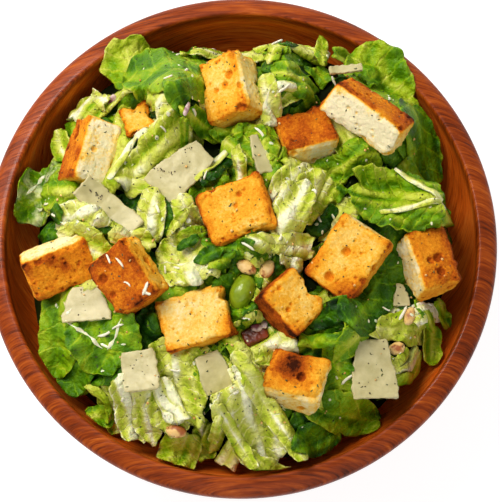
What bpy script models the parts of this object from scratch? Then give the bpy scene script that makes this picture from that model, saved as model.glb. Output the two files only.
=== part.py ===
"""Caesar salad in a turned wooden bowl.

The bowl is one turned solid. The lettuce fills it as one heap, with croutons, parmesan
shavings, almonds, an olive and a piece of dried tomato bedded in its top.
Metres, +Z up. The origin is the centre of the bowl's flat foot, on the table.
"""
import math
import random

import bmesh
import bpy
from mathutils import Matrix, Vector, noise

# ---------------------------------------------------------------- driving dimensions
MM = 0.001

RIM_RADIUS = 115 * MM            # widest, just under the rim
RIM_HEIGHT = 77 * MM             # top of the rim
WIDEST_HEIGHT = 72 * MM
FOOT_RADIUS = 46 * MM
MOUTH_RADIUS = 105.5 * MM        # inner edge of the rim
MOUTH_HEIGHT = 74 * MM
HOLLOW_DEPTH = 62.5 * MM         # from the mouth down to the floor inside
WALL_ROUNDNESS = 2.4             # exponent of the hollow's section
TURN_STEPS = 64

HEAP_GAP = 0.8 * MM              # between the heap and the wood
HEAP_CROWN = 94 * MM             # middle of the heap
HEAP_EDGE = 54 * MM              # where the heap meets the wall
HEAP_EDGE_RISE = 17 * MM         # how much higher it lies where leaves climb the wall
HEAP_LUMP = 4.5 * MM
HEAP_RIPPLE = 2.2 * MM           # unevenness of its edge
HEAP_SEGMENTS = 36
HEAP_RINGS = 18

BED_GAP = 0.4 * MM               # between a topping and the lettuce it is bedded in
BED_DEPTH = 5                    # how deep a crouton sits in its bed, mm
CROUTON_REACH = 15               # how far round a crouton the leaves lie at its bed's level, mm
SMALL_REACH = 9
SHAVING_THICKNESS = 1.5 * MM

# Where leaves climb to the rim: azimuth and half width in degrees.
CLIMBING_LEAVES = ((124, 24), (48, 26), (205, 18), (-82, 12))

# Croutons: centre in mm, then yaw, the way it leans and by how much in degrees, then its
# three sides in mm, the last one across the face that lies uppermost.
CROUTONS = (
    ((-3, 62.5, 97), (12, 180, 33), (23, 31, 19)),
    ((-66, 37.5, 89), (-17, -15, 30), (19, 31, 19)),
    ((-45, 52, 91), (20, 0, 0), (14, 13, 6)),
    ((29.5, 41.5, 91), (16, 100, 20), (26, 22, 19)),
    ((57, 48, 103), (-39, -130, 44), (39, 17, 17)),
    ((-1, 6, 100), (18, 190, 10), (31, 27, 16)),
    ((46.5, -14.5, 98), (-38, -130, 16), (27, 34, 16)),
    ((82, -15, 88), (17, 20, 20), (21, 29, 18)),
    ((20.5, -34.5, 98), (-47, 0, 17), (25, 23, 16)),
    ((-20.5, -39.5, 94), (13, 180, 6), (32, 25, 15)),
    ((-49, -21.5, 102), (32, 212, 26), (24, 29, 17)),
    ((-80, -13, 87), (22, -70, 30), (32, 21, 18)),
    ((22, -66.5, 90), (-18, 80, 14), (27, 22, 19)),
)

# Shavings: centre in mm, then yaw, lean direction and lean in degrees, then length and the
# width at either end in mm, and how far the ends curl up over the length, in degrees.
SHAVINGS = (
    ((-57.5, 10, 98.5), (-40, -39, 6), (32, 12, 11), 45),
    ((-26, 26, 99), (40, 225, 8), (29, 20, 13), -30),
    ((8.5, 32, 102), (-74, 12, 20), (18, 4, 8), 15),
    ((-68, -31, 91), (-88, 150, 8), (16, 13, 24), 20),
    ((-45, -61, 92), (-84, 120, 6), (18, 15, 16), 25),
    ((-13, -62, 92), (-68, 0, 10), (17, 12, 14), -25),
    ((56, -62, 89), (-88, 0, 6), (26, 14, 22), 15),
    ((69.5, -29, 86), (-88, 0, 12), (10, 3, 9), 10),
    ((48, 71, 99), (8, 80, 20), (15, 4.5, 4), 10),
)

# Almond pieces: centre in mm, yaw in degrees, length, width and thickness in mm.
ALMONDS = (
    ((2, -18, 100), -30, (10, 6, 5)),
    ((11, -19, 100), 60, (9, 6, 5)),
    ((-30, -86, 80), -10, (10, 6, 5)),
    ((73, -38.5, 86), 70, (9, 5, 5)),
    ((67, -52, 82), 20, (8, 6, 4)),
)

OLIVE_CENTRE = (0, -28, 96)
OLIVE_YAW = 70
OLIVE_SIZE = (17, 11, 12)

TOMATO_CENTRE = (5, -46, 90)
TOMATO_TURN = (25, 90, 12)
TOMATO_SIZE = (12, 8, 5)

COLLECTION = "caesar_salad"


# ---------------------------------------------------------------- helpers
def material(name, colour, roughness):
    """A Principled material of one colour."""
    mat = bpy.data.materials.new(name)
    mat.use_nodes = True
    shader = mat.node_tree.nodes["Principled BSDF"]
    shader.inputs["Base Color"].default_value = (*colour, 1)
    shader.inputs["Roughness"].default_value = roughness
    shader.inputs["Metallic"].default_value = 0
    mat.diffuse_color = (*colour, 1)
    return mat


def add_object(name, mesh, collection, mat=None):
    """An object for a mesh, in a collection."""
    obj = bpy.data.objects.new(name, mesh)
    if mat:
        mesh.materials.append(mat)
    collection.objects.link(obj)
    return obj


def placement(centre_mm, turn=(0, 0, 0)):
    """World matrix of a piece: turned by yaw, then tipped by lean towards a direction."""
    yaw, towards, lean = (math.radians(angle) for angle in turn)
    tip_axis = Vector((-math.sin(towards), math.cos(towards), 0))
    rotation = Matrix.Rotation(lean, 4, tip_axis) @ Matrix.Rotation(yaw, 4, "Z")
    return Matrix.Translation(Vector(centre_mm) * MM) @ rotation


def mesh_from(bm, name):
    """Turn a bmesh into a mesh with its faces pointing out."""
    bmesh.ops.recalc_face_normals(bm, faces=bm.faces)
    mesh = bpy.data.meshes.new(name)
    bm.to_mesh(mesh)
    bm.free()
    return mesh


def as_cutter(obj):
    """Show an object as a cutter only."""
    obj.hide_render = True
    obj.display_type = "WIRE"


def bedded(name, make, matrix, collection, cutters, mat):
    """A topping and, a little larger all round, the cutter that makes its bed."""
    obj = add_object(name, make(name, 0), collection, mat)
    cutter = add_object(f"{name}_bed", make(f"{name}_bed", BED_GAP), cutters)
    as_cutter(cutter)
    for each in (obj, cutter):
        each.matrix_world = matrix
    return obj, cutter


# ---------------------------------------------------------------- bowl
def hollow_radius(height, gap=0):
    """Radius of the bowl's hollow at a height, drawn in by a gap."""
    depth = min(max((MOUTH_HEIGHT - height) / (HOLLOW_DEPTH - gap), 0), 1)
    return (MOUTH_RADIUS - gap) * math.sqrt(1 - depth ** WALL_ROUNDNESS)


def outer_profile(points=9):
    """Outside of the bowl, from its widest place down to the foot: part of an ellipse."""
    foot_share = FOOT_RADIUS / RIM_RADIUS
    foot_angle = math.acos(foot_share)
    drop = WIDEST_HEIGHT / math.sin(foot_angle)
    for step in range(points + 1):
        angle = foot_angle * step / points
        yield RIM_RADIUS * math.cos(angle), WIDEST_HEIGHT - drop * math.sin(angle)


def hollow_profile(points=13):
    """Inside of the bowl, from the middle of its floor up to the mouth."""
    for step in range(points + 1):
        angle = math.radians(90) * step / points
        depth = max(math.cos(angle), 0) ** (2 / WALL_ROUNDNESS)
        height = MOUTH_HEIGHT - HOLLOW_DEPTH * depth
        yield (0 if step == 0 else hollow_radius(height)), height


def rim_profile():
    """Crowned top of the rim, from the mouth out to the widest place."""
    width = RIM_RADIUS - MOUTH_RADIUS
    crown = RIM_HEIGHT - MOUTH_HEIGHT
    for share, lift in ((0.08, 0.62), (0.24, 0.95), (0.5, 1.0), (0.76, 0.85), (0.93, 0.25), (0.99, -0.6)):
        yield MOUTH_RADIUS + width * share, MOUTH_HEIGHT + crown * lift


def make_bowl(collection, mat):
    """The bowl: one profile, turned about the upright axis."""
    outside = list(outer_profile())
    inside = list(hollow_profile())
    rim = list(rim_profile())
    loop = [(0, 0)] + outside[::-1] + rim[::-1] + inside[::-1]
    bm = bmesh.new()
    verts = [bm.verts.new((radius, 0, height)) for radius, height in reversed(loop)]
    for low, high in zip(verts, verts[1:]):
        bm.edges.new((low, high))
    mesh = bpy.data.meshes.new("bowl")
    bm.to_mesh(mesh)
    bm.free()
    bowl = add_object("bowl", mesh, collection, mat)
    turn = bowl.modifiers.new("turn", "SCREW")
    turn.axis = "Z"
    turn.angle = math.tau
    turn.steps = TURN_STEPS
    turn.render_steps = TURN_STEPS
    turn.use_merge_vertices = True
    turn.merge_threshold = 0.00001
    turn.use_normal_calculate = True
    return bowl


# ---------------------------------------------------------------- lettuce
def climb(azimuth):
    """How far the leaves climb the wall at an azimuth, from 0 to 1."""
    total = 0
    for centre, half_width in CLIMBING_LEAVES:
        away = (math.degrees(azimuth) - centre + 180) % 360 - 180
        total = max(total, math.exp(-((away / half_width) ** 2)))
    return total


def bed_levels():
    """Level of the leaves at each topping: its place across, its height and reach, in mm."""
    for (x, y, z), _turn, size in CROUTONS:
        yield x, y, z - size[2] / 2 + BED_DEPTH, CROUTON_REACH
    for (x, y, z), *_rest in SHAVINGS + ALMONDS:
        yield x, y, z, SMALL_REACH
    for x, y, z in (OLIVE_CENTRE, TOMATO_CENTRE):
        yield x, y, z, SMALL_REACH


def settle(x, y, height):
    """Height of the leaves, drawn to the level of the toppings near by."""
    total = 0
    pull = 0
    for bed_x, bed_y, level, reach in bed_levels():
        weight = math.exp(-((x / MM - bed_x) ** 2 + (y / MM - bed_y) ** 2) / reach ** 2)
        total += weight
        pull += weight * (level * MM - height)
    return height + pull / max(total, 1)


def heap_point(unit):
    """Place of a point of the unit sphere on the heap of leaves."""
    azimuth = math.atan2(unit.y, unit.x)
    share = min(math.hypot(unit.x, unit.y), 1)
    ripple = math.sin(5 * azimuth + 1) + 0.8 * math.sin(9 * azimuth + 2)
    edge_height = HEAP_EDGE + HEAP_EDGE_RISE * climb(azimuth) + HEAP_RIPPLE * ripple
    if unit.z < 0:
        floor = MOUTH_HEIGHT - HOLLOW_DEPTH + HEAP_GAP
        height = floor + (edge_height - floor) * (1 - abs(unit.z)) ** 1.2
        radius = hollow_radius(height, HEAP_GAP)
        if share < 0.01:
            radius = 0
    else:
        radius = share * hollow_radius(edge_height, HEAP_GAP)
        height = edge_height + (HEAP_CROWN - edge_height) * (1 - share ** 3.2) ** 0.8
        lump = noise.noise(Vector((unit.x * 4, unit.y * 4, 0.3))) + 0.6 * noise.noise(
            Vector((unit.x * 9, unit.y * 9, 5.1)))
        height += HEAP_LUMP * lump * min(1, 6 * (1 - share))
        if share < 0.97:
            height = settle(radius * math.cos(azimuth), radius * math.sin(azimuth), height)
    return Vector((radius * math.cos(azimuth), radius * math.sin(azimuth), height))


def make_lettuce(collection, cutters, mat):
    """The lettuce: one heap that follows the hollow and rises over the rim."""
    bm = bmesh.new()
    bmesh.ops.create_uvsphere(bm, u_segments=HEAP_SEGMENTS, v_segments=HEAP_RINGS, radius=1)
    for vert in bm.verts:
        vert.co = heap_point(vert.co)
    lettuce = add_object("lettuce", mesh_from(bm, "lettuce"), collection, mat)
    beds = lettuce.modifiers.new("beds", "BOOLEAN")
    beds.operation = "DIFFERENCE"
    beds.operand_type = "COLLECTION"
    beds.collection = cutters
    beds.solver = "EXACT"
    return lettuce


# ---------------------------------------------------------------- toppings
def block_mesh(name, size_mm, seed, grow):
    """A torn cube: each corner a little out of place."""
    rng = random.Random(seed)
    bm = bmesh.new()
    bmesh.ops.create_cube(bm, size=1)
    for vert in bm.verts:
        signs = [1 if value > 0 else -1 for value in vert.co]
        vert.co = Vector([
            sign * (side * MM / 2 * rng.uniform(0.88, 1.0) + grow)
            for sign, side in zip(signs, size_mm)])
    return mesh_from(bm, name)


def soften(obj, width):
    """Round the edges of a block."""
    bevel = obj.modifiers.new("soft_edges", "BEVEL")
    bevel.width = width
    bevel.segments = 2
    bevel.limit_method = "NONE"


def make_croutons(collection, cutters, mats):
    """Cubes of toasted bread."""
    for number, (centre, turn, size) in enumerate(CROUTONS, start=1):
        def make(name, grow):
            return block_mesh(name, size, number, grow)
        pair = bedded(f"crouton_{number:02d}", make, placement(centre, turn), collection, cutters,
                      mats["bread"])
        for obj in pair:
            soften(obj, min(size) * MM * 0.16)


def shaving_mesh(name, size_mm, curl, grow):
    """A thin tapering slice, bent to an arc along its length."""
    length, start_width, end_width = (value * MM for value in size_mm)
    bm = bmesh.new()
    bmesh.ops.create_grid(bm, x_segments=5, y_segments=1, size=0.5)
    bend = math.radians(curl)
    for vert in bm.verts:
        share = vert.co.x
        width = start_width + (end_width - start_width) * (share + 0.5) + 2 * grow
        across = vert.co.y * width
        if abs(vert.co.x) > 0.4:
            across *= 0.9
        run = (length + 2 * grow) * share
        radius = length / bend
        vert.co = Vector((radius * math.sin(run / radius), across, radius * (1 - math.cos(run / radius))))
    return mesh_from(bm, name)


def make_shavings(collection, cutters, mats):
    """Shavings of parmesan."""
    for number, (centre, turn, size, curl) in enumerate(SHAVINGS, start=1):
        def make(name, grow):
            return shaving_mesh(name, size, curl, grow)
        shaving, bed = bedded(f"shaving_{number}", make, placement(centre, turn), collection, cutters,
                              mats["cheese"])
        for obj, grow in ((shaving, 0), (bed, BED_GAP)):
            skin = obj.modifiers.new("thickness", "SOLIDIFY")
            skin.thickness = SHAVING_THICKNESS + 2 * grow
            skin.offset = 0


def pebble_mesh(name, size_mm, grow, segments, rings):
    """A rounded piece, longest along X."""
    bm = bmesh.new()
    bmesh.ops.create_uvsphere(bm, u_segments=segments, v_segments=rings, radius=1)
    for vert in bm.verts:
        vert.co = Vector([value * (side * MM / 2 + grow) for value, side in zip(vert.co, size_mm)])
    return mesh_from(bm, name)


def make_small_toppings(collection, cutters, mats):
    """Almond pieces, the olive and the piece of dried tomato."""
    for number, (centre, yaw, size) in enumerate(ALMONDS, start=1):
        def make(name, grow):
            return pebble_mesh(name, size, grow, 10, 6)
        bedded(f"almond_{number}", make, placement(centre, (yaw, 0, 0)), collection, cutters, mats["nut"])

    def make_olive(name, grow):
        return pebble_mesh(name, OLIVE_SIZE, grow, 20, 10)
    bedded("olive", make_olive, placement(OLIVE_CENTRE, (OLIVE_YAW, 0, 0)), collection, cutters,
           mats["olive"])

    def make_tomato(name, grow):
        return block_mesh(name, TOMATO_SIZE, 40, grow)
    pair = bedded("dried_tomato", make_tomato, placement(TOMATO_CENTRE, TOMATO_TURN), collection,
                  cutters, mats["tomato"])
    for obj in pair:
        soften(obj, 1.2 * MM)


# ---------------------------------------------------------------- whole
def main():
    """Build the salad."""
    for obj in list(bpy.data.objects):
        bpy.data.objects.remove(obj, do_unlink=True)
    parts = bpy.data.collections.new(COLLECTION)
    cutters = bpy.data.collections.new("beds")
    bpy.context.scene.collection.children.link(parts)
    bpy.context.scene.collection.children.link(cutters)
    mats = {
        "wood": material("wood", (0.27, 0.085, 0.03), 0.42),
        "leaf": material("leaf", (0.25, 0.38, 0.05), 0.45),
        "bread": material("bread", (0.72, 0.42, 0.13), 0.75),
        "cheese": material("cheese", (0.80, 0.72, 0.48), 0.5),
        "nut": material("nut", (0.66, 0.42, 0.22), 0.55),
        "olive": material("olive", (0.24, 0.30, 0.03), 0.25),
        "tomato": material("tomato", (0.28, 0.06, 0.03), 0.45),
    }
    make_bowl(parts, mats["wood"])
    make_croutons(parts, cutters, mats)
    make_shavings(parts, cutters, mats)
    make_small_toppings(parts, cutters, mats)
    make_lettuce(parts, cutters, mats["leaf"])


main()
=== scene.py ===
"""A caesar salad in a turned wooden bowl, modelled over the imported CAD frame.

The bowl is turned again with more steps, the croutons, shavings and other toppings are finer
copies of their CAD nodes, and the lettuce heap becomes separate leaves laid one after another
on a lower core. Places are in millimetres, with +X to the right and +Y away from the viewer.
"""
import itertools
import math
import random

import bmesh
import bpy
import numpy as np
from mathutils import Matrix, Vector
from mathutils.bvhtree import BVHTree


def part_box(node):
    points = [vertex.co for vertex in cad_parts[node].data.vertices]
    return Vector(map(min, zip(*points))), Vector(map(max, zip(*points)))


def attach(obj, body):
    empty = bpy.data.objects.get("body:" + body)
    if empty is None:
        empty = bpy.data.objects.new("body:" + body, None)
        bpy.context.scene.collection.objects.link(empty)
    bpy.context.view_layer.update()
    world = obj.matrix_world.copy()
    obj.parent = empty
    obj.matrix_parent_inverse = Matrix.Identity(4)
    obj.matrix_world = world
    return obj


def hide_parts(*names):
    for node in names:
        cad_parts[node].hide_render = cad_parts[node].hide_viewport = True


MM = 0.001

# The bowl, as its CAD node has it.
RIM_RADIUS = 115 * MM
RIM_HEIGHT = 77 * MM
WIDEST_HEIGHT = 72 * MM
FOOT_RADIUS = 46 * MM
MOUTH_RADIUS = 105.5 * MM
MOUTH_HEIGHT = 74 * MM
HOLLOW_DEPTH = 62.5 * MM
WALL_ROUNDNESS = 2.4
BOWL_STEPS = 192                    # round the bowl
WALL_STEPS = 28                     # from its foot to its rim, and back down inside

# Top of the rim: share of the way out from the mouth, and share of the crown's height.
RIM_SHARES = ((0.99, -0.50), (0.96, -0.22), (0.89, 0.08), (0.76, 0.38), (0.63, 0.59), (0.5, 0.76),
              (0.36, 0.90), (0.24, 0.98), (0.16, 1), (0.09, 0.94), (0.04, 0.76), (0.01, 0.42))

# The map of heights that the leaves are laid on.
MAP_HALF = 122 * MM
MAP_CELL = 0.5 * MM
HIGH_UP = 0.2                       # where looks straight down start, above everything
NO_CEILING = 1.0
CORE_DROP = 7 * MM                  # how far the core lies under the CAD heap
CORE_FOOT = 20 * MM                 # what is under this height isn't lowered
CORE_SHRINK = 0.94                  # and how much narrower it is, so that the bowl's wall shows
LEAF_GAP = 0.5 * MM                 # between a leaf and what it lies on
LEAF_CELL = 0.9 * MM                # the leaves' own grids, from the coarse fillers to the bits
FILLER_CELL = 1.5 * MM
BIT_CELL = 0.7 * MM
PLEAT_PAINTED_LIGHT = 0.13                   # painted light and shade: how much paler a leaf is painted along its ridges, and darker in its folds
VEIN_SLANT = 0.62                   # how far side veins run forward for each step from the rib
BLADE_START = 0.1                   # added to the place along a leaf, so that it is never negative
GROUP_SIZE = 12                     # how many of the leaves that show are in one mesh
WALL_GAP = 1.2 * MM                 # between the leaves and the bowl's wall
LOWEST_EDGE = 62 * MM               # where a leaf that lies lower is kept from the wall

# Toppings that leaves beside them would hide, and how far round them leaves stay lower.
EASILY_HIDDEN = ("almond", "olive", "dried_tomato", "crouton_03", "shaving_3", "shaving_5",
                 "shaving_6", "shaving_8")
BARE_CELLS = 8

# The camera looks from the front at the middle of the rim, moved a little for the framing.
CAMERA_TILT = math.radians(13)
CAMERA_DISTANCE = 0.80
CAMERA_LENS = 128.7
CAMERA_AIM = (0.0038, -0.0055, 0.076)


# ---------------------------------------------------------------- numbers and noise

def hashed(cells, seed):
    """A number from -1 to 1 for each lattice point, the same each time for the same seed."""
    n = cells[..., 0] * 73856093 ^ cells[..., 1] * 19349663 ^ cells[..., 2] * 83492791
    n = n ^ (seed * 40503 + 977)
    n = (n ^ (n >> 13)) * 1274126177 & 0x7FFFFFFF
    n = (n ^ (n >> 15)) * 668265263 & 0x7FFFFFFF
    return (n & 0xFFFF) / 32767.5 - 1


def noise(points, size, seed=0, octaves=1):
    """Smooth noise from about -1 to 1 at each point, with lumps of that size."""
    total = np.zeros(points.shape[:-1])
    strength = 1.0
    for octave in range(octaves):
        scaled = points / size + 31.7 * octave + 500
        cell = np.floor(scaled).astype(np.int64)
        part = scaled - cell
        part = part * part * (3 - 2 * part)
        for corner in itertools.product((0, 1), repeat=3):
            weight = np.ones(points.shape[:-1])
            for axis, far in enumerate(corner):
                weight = weight * (part[..., axis] if far else 1 - part[..., axis])
            total += strength * weight * hashed(cell + np.array(corner), seed + octave)
        strength *= 0.5
        size *= 0.5
    return total


def smooth_step(low, high, value):
    share = np.clip((value - low) / (high - low), 0, 1)
    return share * share * (3 - 2 * share)


def colour(red, green, blue):
    """A linear colour from the three values, 0 to 255, that it shows on a screen."""
    def linear(value):
        value /= 255
        return value / 12.92 if value <= 0.04045 else ((value + 0.055) / 1.055) ** 2.4
    return (linear(red), linear(green), linear(blue), 1.0)


# ---------------------------------------------------------------- materials

class Shader:
    """A material with one Principled BSDF, and short ways to add nodes to it."""

    def __init__(self, name, **values):
        self.material = bpy.data.materials.new(name)
        self.material.use_nodes = True
        self.tree = self.material.node_tree
        self.bsdf = self.tree.nodes["Principled BSDF"]
        for label, value in values.items():
            self.bsdf.inputs[label.replace("_", " ")].default_value = value

    def add(self, kind, inputs=(), **settings):
        node = self.tree.nodes.new("ShaderNode" + kind)
        for label, value in settings.items():
            setattr(node, label, value)
        for socket, value in dict(inputs).items():
            self.feed(node.inputs[socket], value)
        return node

    def feed(self, socket, value):
        if isinstance(value, bpy.types.NodeSocket):
            self.tree.links.new(value, socket)
        else:
            socket.default_value = value

    def set(self, label, value):
        self.feed(self.bsdf.inputs[label], value)

    def attribute(self, name):
        """The three parts of a mesh attribute."""
        found = self.add("Attribute", attribute_name=name)
        parts = self.add("SeparateXYZ", {0: found.outputs["Vector"]})
        return parts.outputs[0], parts.outputs[1], parts.outputs[2]

    def place(self):
        return self.add("TexCoord").outputs["Object"]

    def noise(self, scale, detail=2.0, vector=None, roughness=0.5):
        inputs = {"Scale": scale, "Detail": detail, "Roughness": roughness}
        inputs["Vector"] = vector if vector is not None else self.place()
        return self.add("TexNoise", inputs).outputs[0]

    def math(self, operation, first, second=0.0, third=0.0):
        return self.add("Math", {0: first, 1: second, 2: third}, operation=operation).outputs[0]

    def times_plus(self, first, second, third):
        return self.math("MULTIPLY_ADD", first, second, third)

    def span(self, value, low, high, to_low=0.0, to_high=1.0):
        inputs = {0: value, 1: low, 2: high, 3: to_low, 4: to_high}
        return self.add("MapRange", inputs, clamp=True).outputs[0]

    def ramp(self, value, stops):
        node = self.add("ValToRGB", {0: value})
        points = node.color_ramp.elements
        points[0].position = stops[0][0]
        points[0].color = colour(*stops[0][1])
        points[1].position = stops[-1][0]
        points[1].color = colour(*stops[-1][1])
        for position, shade in stops[1:-1]:
            points.new(position).color = colour(*shade)
        return node.outputs[0]

    def mix(self, share, first, second):
        node = self.add("Mix", data_type="RGBA")
        self.feed(node.inputs[0], share)
        self.feed(node.inputs[6], first)
        self.feed(node.inputs[7], second)
        return node.outputs[2]

    def bump(self, height, distance, strength=1.0):
        node = self.add("Bump", {"Height": height, "Distance": distance, "Strength": strength})
        self.set("Normal", node.outputs[0])

    def soften(self, weight, radius, scale):
        """Lets light in under the surface."""
        self.set("Subsurface Weight", weight)
        self.set("Subsurface Radius", radius)
        self.set("Subsurface Scale", scale)


LEAF_STOPS = (
    (0.0, (8, 36, 0)),
    (0.16, (26, 70, 0)),
    (0.32, (62, 110, 0)),
    (0.48, (110, 154, 2)),
    (0.62, (158, 180, 22)),
    (0.75, (194, 202, 66)),
    (0.88, (215, 216, 116)),
    (1.0, (244, 242, 200)),
)


def make_leaf_material():
    """Leaf green by tone, with pale ribs and side veins, and dressing here and there."""
    s = Shader("leaf", Roughness=0.42, Specular_IOR_Level=0.2)
    tone, cream, vein_depth = s.attribute("tint")
    along, across, spacing = s.attribute("blade")

    # side veins slant forward from the rib, and a net of fine veins lies between them
    slant = s.times_plus(s.math("ABSOLUTE", across), -VEIN_SLANT, along)
    slant = s.times_plus(s.noise(260, 2), 0.004, slant)
    phase = s.math("FRACT", s.math("DIVIDE", slant, spacing))
    from_vein = s.math("ABSOLUTE", s.math("SUBTRACT", phase, 0.5))
    side_vein = s.span(from_vein, 0.40, 0.485)
    cells = s.add("TexVoronoi", {"Scale": 560.0, "Vector": s.place()}, feature="DISTANCE_TO_EDGE")
    net = s.span(cells.outputs["Distance"], 0.10, 0.0)
    lit = s.times_plus(s.math("MULTIPLY", side_vein, vein_depth), 0.12, tone)
    lit = s.times_plus(s.math("MULTIPLY", net, vein_depth), 0.05, lit)
    lit = s.times_plus(s.math("SUBTRACT", s.noise(120, 4), 0.5), 0.40, lit)
    green = s.ramp(lit, LEAF_STOPS)

    # patches of dressing are paler and wetter
    patches = s.times_plus(s.noise(95, 5, roughness=0.62), 1.0, cream)
    wet = s.span(patches, 0.87, 0.99)
    dressing = s.math("MULTIPLY", wet, 0.62)
    s.set("Base Color", s.mix(dressing, green, colour(236, 236, 184)))
    s.set("Roughness", s.span(wet, 0.0, 1.0, 0.42, 0.22))
    s.soften(0.12, (0.6, 1.0, 0.2), 0.0012)

    heights = s.times_plus(side_vein, -0.3, s.math("MULTIPLY", net, -0.12))
    heights = s.times_plus(wet, 0.5, heights)
    heights = s.times_plus(s.noise(150, 2), 6.0, heights)
    heights = s.times_plus(s.noise(420, 3, roughness=0.6), 1.4, heights)
    s.bump(heights, 0.0008)
    return s.material


# painted shade: the core is coloured near black so that the gaps between the leaves look shaded
def make_core_material():
    s = Shader("shaded_lettuce", Roughness=0.7, Specular_IOR_Level=0.05)
    s.set("Base Color", s.ramp(s.noise(90, 3), ((0.3, (10, 14, 2)), (0.7, (28, 40, 6)))))
    return s.material


def make_wood_material():
    """Reddish brown wood under a thin clear finish, painted much paler inside the bowl as painted light,
    so that the shaded inner wall looks lit.

    Its growth rings are round a line along X, behind and below the bowl, so the grain runs along X.
    """
    s = Shader("bowl_wood", Roughness=0.42, Specular_IOR_Level=0.14, Coat_Weight=0.12,
               Coat_Roughness=0.12)
    place = s.place()
    parts = s.add("SeparateXYZ", {0: place}).outputs
    from_line = s.add("Mapping", {"Vector": place, "Location": (0, -0.35, 0.35), "Scale": (0, 1, 1)})
    ring = s.add("VectorMath", {0: from_line.outputs[0]}, operation="LENGTH").outputs["Value"]
    ring = s.times_plus(s.noise(9, 2), 0.006, ring)

    def grain(lengthwise, ringwise, detail):
        spot = s.add("CombineXYZ", {0: s.math("MULTIPLY", parts[0], lengthwise),
                                    1: s.math("MULTIPLY", ring, ringwise),
                                    2: s.math("MULTIPLY", parts[1], lengthwise * 2)})
        return s.noise(1.0, detail, spot.outputs[0], 0.6)
    broad = grain(9, 60, 2)
    bands = grain(20, 330, 3)
    fibre = grain(70, 1500, 3)
    tone = s.times_plus(broad, 0.38, s.math("MULTIPLY", bands, 0.32))
    tone = s.times_plus(s.math("SUBTRACT", fibre, 0.26), 0.62, tone)
    streaks = s.span(grain(80, 2000, 2), 0.55, 0.68)
    tone = s.times_plus(streaks, -0.10, tone)
    outside = s.ramp(tone, ((0.26, (62, 20, 0)), (0.46, (128, 48, 4)), (0.58, (160, 70, 12)),
                            (0.80, (208, 112, 36))))
    # painted light: a much paler copy of the wood for the hollow's wall, so that it looks lit where
    # shade falls
    inside = s.ramp(tone, ((0.26, (150, 52, 4)), (0.46, (230, 98, 20)), (0.58, (250, 126, 38)),
                           (0.80, (255, 176, 84))))
    s.set("Base Color", s.mix(s.attribute("inside")[0], outside, inside))
    s.bump(s.times_plus(streaks, -1.0, s.math("MULTIPLY", fibre, 0.5)), 0.00025, 0.5)
    return s.material


BREAD_STOPS = (
    (0.0, (248, 234, 190)),
    (0.20, (252, 212, 114)),
    (0.36, (247, 179, 50)),
    (0.52, (232, 142, 24)),
    (0.72, (184, 84, 12)),
    (0.92, (104, 40, 4)),
    (1.0, (58, 20, 2)),
)


def make_bread_material():
    """Bread from white crumb to dark toast, by how toasted it is, with pores, and painted shade that
    darkens its holes and pores.
    """
    s = Shader("toasted_bread", Roughness=0.8, Specular_IOR_Level=0.1)
    toast, hollow, _ = s.attribute("toast")
    fine = s.math("SUBTRACT", s.noise(850, 5, roughness=0.75), 0.5)
    broad = s.math("SUBTRACT", s.noise(130, 4, roughness=0.6), 0.5)
    tone = s.times_plus(fine, 0.62, toast)
    tone = s.times_plus(broad, 0.34, tone)
    # painted shade: deeper holes in the crumb are coloured darker
    tone = s.times_plus(hollow, 0.20, tone)
    # painted shade: the pores are coloured darker as well as sunk by the bump
    pores = s.add("TexVoronoi", {"Scale": 620.0, "Vector": s.place()}).outputs["Distance"]
    pores = s.span(s.times_plus(s.noise(260, 2), 0.5, pores), 0.42, 0.28)
    tone = s.times_plus(pores, 0.16, tone)
    s.set("Base Color", s.ramp(tone, BREAD_STOPS))
    s.soften(0.10, (1.0, 0.6, 0.25), 0.0015)
    s.bump(s.times_plus(pores, -0.5, s.noise(900, 5, roughness=0.75)), 0.0008)
    return s.material


def make_cheese_material():
    s = Shader("hard_cheese", Roughness=0.45)
    s.set("Base Color", s.ramp(s.noise(160, 4), ((0.3, (174, 163, 110)), (0.7, (204, 193, 144)))))
    s.soften(0.2, (1.0, 0.8, 0.5), 0.0015)
    s.bump(s.noise(700, 3), 0.0003, 0.5)
    return s.material


def make_spotted_material(name, stops, scale, roughness=0.5):
    """A plain food colour that varies between its stops."""
    s = Shader(name, Roughness=roughness)
    s.set("Base Color", s.ramp(s.noise(scale, 3), stops))
    s.bump(s.noise(scale * 3, 3), 0.0003, 0.5)
    return s.material


# ---------------------------------------------------------------- meshes

def add_piece(name, mesh, material, node=None, slot=None):
    """A shown piece on the one body, standing for its CAD node if it has one. Its slot argument is not
    used.
    """
    mesh.materials.clear()
    mesh.materials.append(material)
    mesh.polygons.foreach_set("use_smooth", [True] * len(mesh.polygons))
    obj = bpy.data.objects.new(name, mesh)
    bpy.context.scene.collection.objects.link(obj)
    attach(obj, "root")
    if node:
        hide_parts(node)


def mesh_of(name, points, faces, attributes=()):
    mesh = bpy.data.meshes.new(name)
    mesh.from_pydata([tuple(p) for p in points], [], faces)
    for label, values in dict(attributes).items():
        layer = mesh.attributes.new(label, "FLOAT_VECTOR", "POINT")
        layer.data.foreach_set("vector", np.asarray(values, dtype=float).ravel())
    return mesh


def read(mesh, what="co"):
    """The places of the mesh's vertices, or their normals."""
    values = np.empty(len(mesh.vertices) * 3)
    mesh.vertices.foreach_get(what, values)
    return values.reshape(-1, 3)


def set_points(mesh, points):
    mesh.vertices.foreach_set("co", points.ravel())
    mesh.update()


def joined(parts):
    """One list of points and one of faces for several pieces, and whatever else they have."""
    points, faces, *more = zip(*parts)
    starts = np.cumsum([0] + [len(part) for part in points])
    faces = [part + start for part, start in zip(faces, starts)]
    return [np.concatenate(points), np.concatenate(faces).tolist(),
            *(np.concatenate(rows) for rows in more)]


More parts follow.
